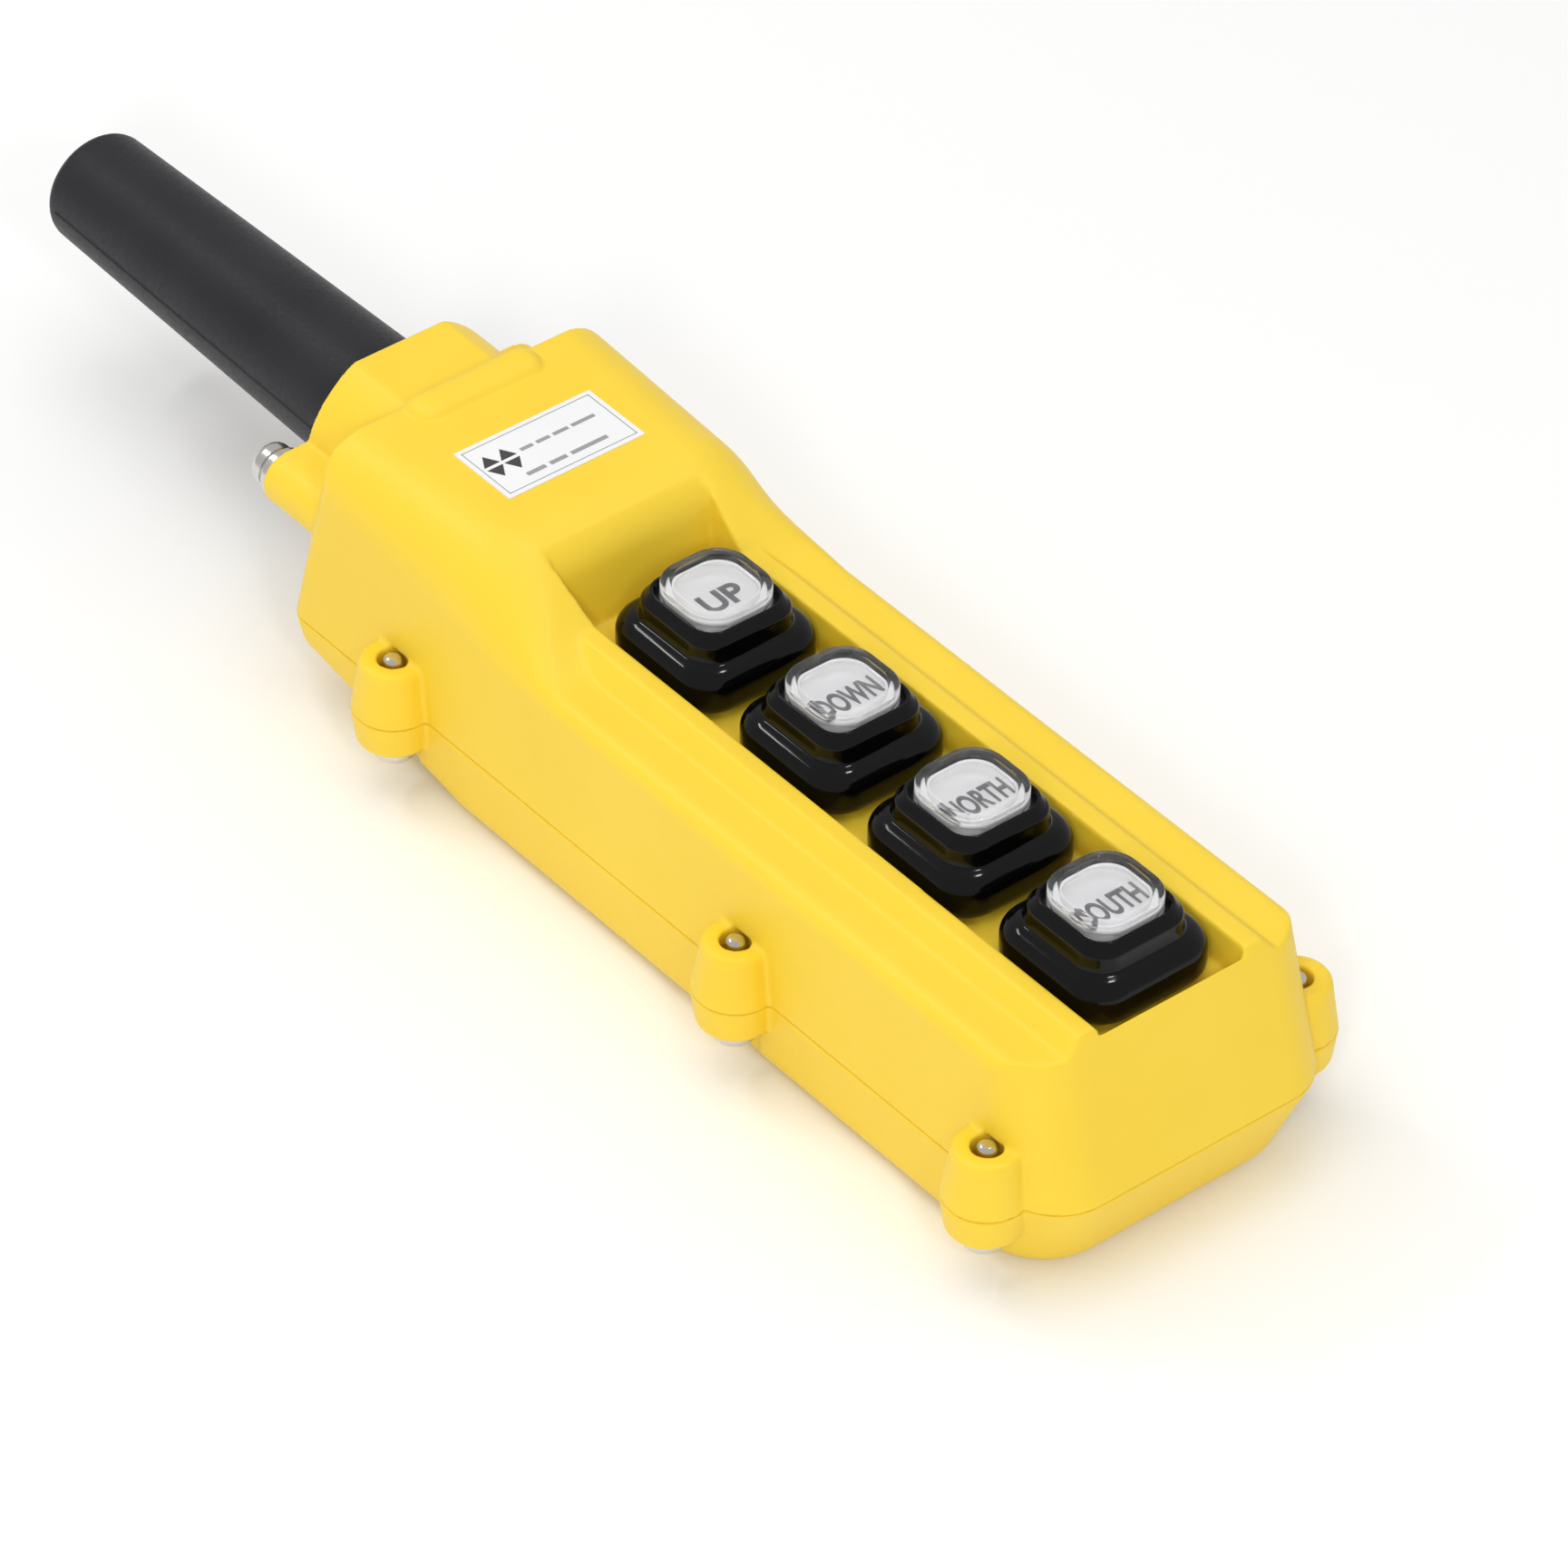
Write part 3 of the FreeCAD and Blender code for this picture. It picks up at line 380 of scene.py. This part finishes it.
def lens(name, y):
    """The clear cap: a thick wall, a raised ring and a shallow dish."""
    profile = [(8.0, 56.55), (8.95, 56.55), (8.92, 59.6)]
    profile += bend((8.4, 59.9), 0.5, 0, 90, 6)
    profile += bend((7.75, 60.0), 0.4, 90, 165, 5)
    profile += [(7.2, 59.7), (6.75, 59.25), (6.2, 59.1), (3.0, 59.05), (0.03, 59.05)]
    outer = [rounded_square(half, min(LENS_CORNER, half * 0.78), y, z) for half, z in profile]
    inner = [(0.03, 58.3), (6.6, 58.3), (7.6, 58.1), (8.0, 57.6)]
    under = [rounded_square(half, min(LENS_INNER_CORNER, half * 0.78), y, z) for half, z in inner]
    vertices, faces = skin(outer + under, loop=True)
    thing = mesh_object(f"lens_{name}_cap", vertices, faces)
    thing.data.set_sharp_from_angle(angle=math.radians(50))
    dress(thing, clear)
    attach(thing, f"button_{name}")
    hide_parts(f"lens_{name}")


def return_spring(name):
    """The coil of the button's return spring, fixed to the housing."""
    spring = welded_copy(f"return_spring_{name}", f"return_spring_{name}_coil", 40)
    dress(spring, spring_metal)
    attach(spring, "housing")
    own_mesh(spring)
    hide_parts(f"return_spring_{name}")


def legend_word(word, y):
    """A plain word for the button's function, lying on the legend plate."""
    curve = bpy.data.curves.new(f"word_{word.lower()}", "FONT")
    curve.body = word
    curve.align_x = "CENTER"
    curve.align_y = "CENTER"
    curve.size = WORD_SIZE * MM
    curve.extrude = INK * MM
    curve.offset = WORD_WEIGHT * MM
    text = bpy.data.objects.new(f"word_{word.lower()}_curve", curve)
    scene.collection.objects.link(text)
    bpy.context.view_layer.update()
    graph = bpy.context.evaluated_depsgraph_get()
    mesh = bpy.data.meshes.new_from_object(text.evaluated_get(graph))
    bpy.data.objects.remove(text)
    span = max(v.co.x for v in mesh.vertices) - min(v.co.x for v in mesh.vertices)
    squeeze = min(1.0, WORD_WIDTH * MM / span)
    for vertex in mesh.vertices:
        vertex.co.x *= squeeze
    thing = bpy.data.objects.new(f"word_{word.lower()}", mesh)
    scene.collection.objects.link(thing)
    thing.location = Vector((WORD_SHIFT[0], y + WORD_SHIFT[1], LEGEND_Z)) * MM
    dress(thing, legend_ink)
    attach(thing, f"button_{word.lower()}")


for name, y in BUTTON_Y.items():
    boot(name, y)
    lens(name, y)
    return_spring(name)
for name, y in BUTTON_Y.items():
    legend_word(name.upper(), y)


# ---------- label ----------

def label_mark(name, outline, material):
    """A flat printed mark with the given outline."""
    low = [(x, y, LABEL_PRINT_Z) for x, y in outline]
    high = [(x, y, LABEL_PRINT_Z + INK) for x, y in outline]
    thing = mesh_object(f"label_{name}", *skin([low, high]), smooth=False)
    dress(thing, material)
    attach(thing, "housing")


def label_bar(name, x_low, x_high, y_low, y_high):
    """A plain printed bar."""
    corners = [(x_low, y_low), (x_high, y_low), (x_high, y_high), (x_low, y_high)]
    label_mark(name, corners, label_grey)


def label_arrow(name, x, y_base, y_tip, half):
    """A plain solid arrow head."""
    corners = [(x - half, y_base), (x + half, y_base), (x, y_tip)]
    if y_tip < y_base:
        corners.reverse()
    label_mark(name, corners, label_ink)


def label_print():
    """A thin frame, a pictogram of four arrow heads, and plain dashes for the printed lines."""
    edge_x = LABEL_X - LABEL_MARGIN
    edge_low = LABEL_Y[0] + LABEL_MARGIN
    edge_high = LABEL_Y[1] - LABEL_MARGIN
    label_bar("frame_low", -edge_x, edge_x, edge_low, edge_low + LABEL_LINE)
    label_bar("frame_high", -edge_x, edge_x, edge_high - LABEL_LINE, edge_high)
    label_bar("frame_left", -edge_x, LABEL_LINE - edge_x, edge_low, edge_high)
    label_bar("frame_right", edge_x - LABEL_LINE, edge_x, edge_low, edge_high)
    for i, x in enumerate((-11.9, -8.1)):
        label_arrow(f"arrow_up_{i}", x, 20.6, 23.6, 1.75)
        label_arrow(f"arrow_down_{i}", x, 19.8, 16.8, 1.75)
    for i, (start, end) in enumerate(((-5.2, -2.4), (-1.6, 1.4), (2.2, 5.6), (6.4, 11.6))):
        label_bar(f"upper_dash_{i}", start, end, 20.6, 21.5)
    for i, (start, end) in enumerate(((-8.6, -4.4), (-3.4, 0.4), (1.4, 9.6))):
        label_bar(f"lower_dash_{i}", start, end, 14.2, 15.2)


label_print()


# ---------- stage ----------

def stage_material():
    """The pale matt floor."""
    material, tree, shader = new_material("pale_floor")
    clouds = noise(tree, 3)
    tint(tree, clouds.outputs["Fac"], (0.955, 0.955, 0.95), (0.965, 0.965, 0.96),
         shader.inputs["Base Color"])
    shader.inputs["Roughness"].default_value = 0.9
    return material


floor_corners = [(x * FLOOR_HALF, y * FLOOR_HALF, FLOOR_Z) for x, y in ((-1, -1), (1, -1), (1, 1), (-1, 1))]
floor = mesh_object("floor", *skin([floor_corners], False))
floor.data.materials.append(stage_material())

world = bpy.data.worlds.new("soft_room")
scene.world = world
world.use_nodes = True
world.node_tree.nodes["Background"].inputs["Color"].default_value = (1, 1, 1, 1)
world.node_tree.nodes["Background"].inputs["Strength"].default_value = 0.59


def softbox(name, place, target, size, power, glossy=True, diffuse=True):
    """A soft lamp, in metres and watts, that can light the piece, leave highlights on it, or both."""
    light = bpy.data.lights.new(name, "AREA")
    light.shape = "RECTANGLE"
    light.size, light.size_y = size
    light.energy = power
    lamp = bpy.data.objects.new(name, light)
    scene.collection.objects.link(lamp)
    lamp.location = place
    lamp.rotation_euler = (Vector(target) - Vector(place)).to_track_quat("-Z", "Y").to_euler()
    lamp.visible_glossy = glossy
    lamp.visible_diffuse = diffuse


softbox("overhead", (-0.2, 0.1, 1.4), (0, -0.03, 0), (1.3, 1.3), 7.2, glossy=False)
softbox("top", (0.36, -0.2, 1.35), (0, -0.03, 0.03), (0.15, 0.15), 2.2, diffuse=False)
softbox("key", (-0.9, -0.9, 0.9), (0, -0.03, 0.03), (0.2, 0.2), 3.8, glossy=False)
softbox("second", (-0.55, -1.15, 1.0), (0, -0.03, 0.03), (0.16, 0.16), 2.6, glossy=False)
softbox("strip", (-0.34, 0.84, 1.07), (0, -0.03, 0.03), (0.42, 0.06), 2.0)

# metres and degrees
CAMERA_PLACE = (-0.770120, -0.966838, 1.030143)
CAMERA_AZIMUTH = -39.9706
CAMERA_ELEVATION = 39.9240
CAMERA_ROLL = 1.2207

camera_data = bpy.data.cameras.new("camera")
camera = bpy.data.objects.new("camera", camera_data)
scene.collection.objects.link(camera)
scene.camera = camera
camera_data.sensor_width = 36
camera_data.lens = 202.66
camera_data.clip_start = 0.05
azimuth = math.radians(CAMERA_AZIMUTH)
elevation = math.radians(CAMERA_ELEVATION)
roll = math.radians(CAMERA_ROLL)
right = Vector((math.cos(azimuth), math.sin(azimuth), 0))
back = Vector((
    math.sin(azimuth) * math.cos(elevation),
    -math.cos(azimuth) * math.cos(elevation),
    math.sin(elevation),
))
up = back.cross(right)
turned_right = right * math.cos(roll) + up * math.sin(roll)
turned_up = up * math.cos(roll) - right * math.sin(roll)
turn = Matrix((turned_right, turned_up, back)).transposed()
camera.matrix_world = Matrix.Translation(Vector(CAMERA_PLACE)) @ turn.to_4x4()
scene.view_settings.view_transform = "Standard"
